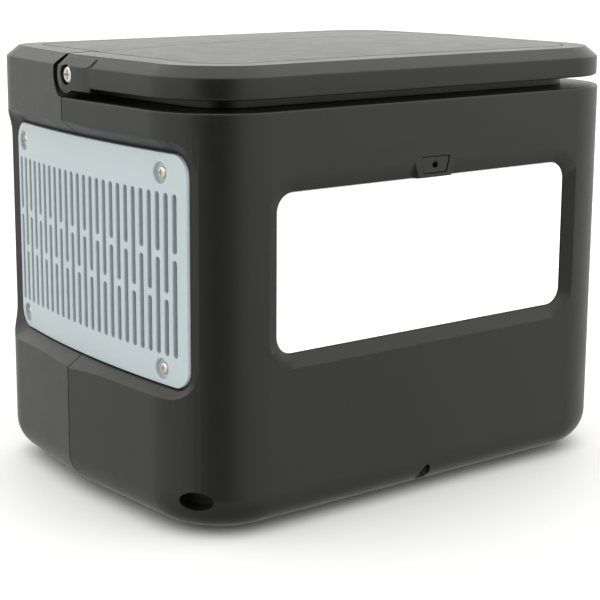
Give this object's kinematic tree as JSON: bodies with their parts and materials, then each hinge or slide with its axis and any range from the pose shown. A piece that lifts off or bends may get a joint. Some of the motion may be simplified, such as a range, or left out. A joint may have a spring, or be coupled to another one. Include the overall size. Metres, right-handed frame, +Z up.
{
  "type": "portable power station",
  "caption": "Box-shaped portable power station with a folding wrap-round carry handle, a wide light panel, side vent grilles and a rear socket panel.",
  "frame": {"origin": "centre of the footprint, on the ground under the rubber feet", "axes": "+X along the width, -Y out of the light panel, +Y out of the socket panel, +Z up"},
  "size_m": [0.296, 0.215, 0.233],
  "materials": {
    "case": "dark olive-charcoal moulded plastic with a fine spark-eroded texture",
    "handle": "the case's dark moulded plastic",
    "screw": "bright plated steel",
    "grille": "pale blue-grey satin paint",
    "diffuser": "opal light diffuser, lit",
    "light_tray": "white reflector plastic",
    "button": "dark satin plastic",
    "panel": "near-black fine-textured plastic",
    "display_glass": "smoked clear window",
    "circuit_board": "green solder mask",
    "socket": "black satin plastic",
    "rubber": "soft black rubber",
    "battery_cell": "aluminium can in blue film",
    "bracket": "grey moulded plastic",
    "heatsink": "extruded aluminium",
    "winding": "enamelled copper winding",
    "capacitor": "black sleeved can",
    "fan": "black moulded plastic"
  },
  "bodies": {
    "case": {"ac_inlet": "socket", "ac_outlet_1": "socket", "ac_outlet_2": "socket", "battery_cell_1": "battery_cell", "battery_cell_2": "battery_cell", "battery_cell_3": "battery_cell", "battery_cell_4": "battery_cell", "battery_cell_5": "battery_cell", "battery_cell_6": "battery_cell", "battery_cell_7": "battery_cell", "battery_cell_8": "battery_cell", "battery_cover": "bracket", "battery_tray": "bracket", "bms_board": "circuit_board", "bulk_capacitor_1": "capacitor", "bulk_capacitor_2": "capacitor", "car_socket": "socket", "control_panel": "panel", "dc_port_1": "socket", "dc_port_2": "socket", "display_board": "circuit_board", "display_window": "display_glass", "front_shell": "case", "handle_pivot_screw_left": "screw", "handle_pivot_screw_right": "screw", "inverter_board": "circuit_board", "inverter_heatsink": "heatsink", "led_board": "circuit_board", "left_fan_frame": "fan", "left_grille": "grille", "left_grille_screw_1": "screw", "left_grille_screw_2": "screw", "left_grille_screw_3": "screw", "left_grille_screw_4": "screw", "light_diffuser": "diffuser", "light_tray": "light_tray", "rear_shell": "case", "right_fan_frame": "fan", "right_grille": "grille", "right_grille_screw_1": "screw", "right_grille_screw_2": "screw", "right_grille_screw_3": "screw", "right_grille_screw_4": "screw", "rubber_foot_1": "rubber", "rubber_foot_2": "rubber", "rubber_foot_3": "rubber", "rubber_foot_4": "rubber", "solar_input": "socket", "top_deck": "case", "transformer": "winding", "usb_module": "socket"},
    "handle": {"carry_handle": "handle"},
    "light_button": {"light_button": "button"},
    "power_button": {"power_button": "button"},
    "dc_button": {"dc_button": "button"},
    "ac_button": {"ac_button": "button"},
    "socket_cap": {"car_socket_cap": "rubber"},
    "input_cover": {"input_cover": "rubber"},
    "left_fan": {"left_fan_rotor": "fan"},
    "right_fan": {"right_fan_rotor": "fan"}
  },
  "joints": [
    {"name": "handle_swing", "type": "hinge", "parent": "case", "child": "handle", "pos_m": [0, 0.0071, 0.2203], "axis": [-1, 0, 0], "range_deg": [0, 90]},
    {"name": "light_button_press", "type": "slide", "parent": "case", "child": "light_button", "axis": [0, 1, 0], "range_m": [0, 0.001], "stiffness_N_per_m": 600, "springref_m": -0.001},
    {"name": "power_button_press", "type": "slide", "parent": "case", "child": "power_button", "axis": [0, -1, 0], "range_m": [0, 0.001], "stiffness_N_per_m": 600, "springref_m": -0.001},
    {"name": "dc_button_press", "type": "slide", "parent": "case", "child": "dc_button", "axis": [0, -1, 0], "range_m": [0, 0.001], "stiffness_N_per_m": 600, "springref_m": -0.001},
    {"name": "ac_button_press", "type": "slide", "parent": "case", "child": "ac_button", "axis": [0, -1, 0], "range_m": [0, 0.001], "stiffness_N_per_m": 600, "springref_m": -0.001},
    {"name": "socket_cap_hinge", "type": "hinge", "parent": "case", "child": "socket_cap", "pos_m": [0.058, 0.1055, 0.1435], "axis": [1, 0, 0], "range_deg": [0, 110]},
    {"name": "input_cover_hinge", "type": "hinge", "parent": "case", "child": "input_cover", "pos_m": [0.053, 0.1055, 0.089], "axis": [1, 0, 0], "range_deg": [0, 110]},
    {"name": "left_fan_spin", "type": "hinge", "parent": "case", "child": "left_fan", "pos_m": [-0.118, -0.014, 0.147], "axis": [1, 0, 0], "continuous": true},
    {"name": "right_fan_spin", "type": "hinge", "parent": "case", "child": "right_fan", "pos_m": [0.118, -0.014, 0.147], "axis": [1, 0, 0], "continuous": true}
  ]
}
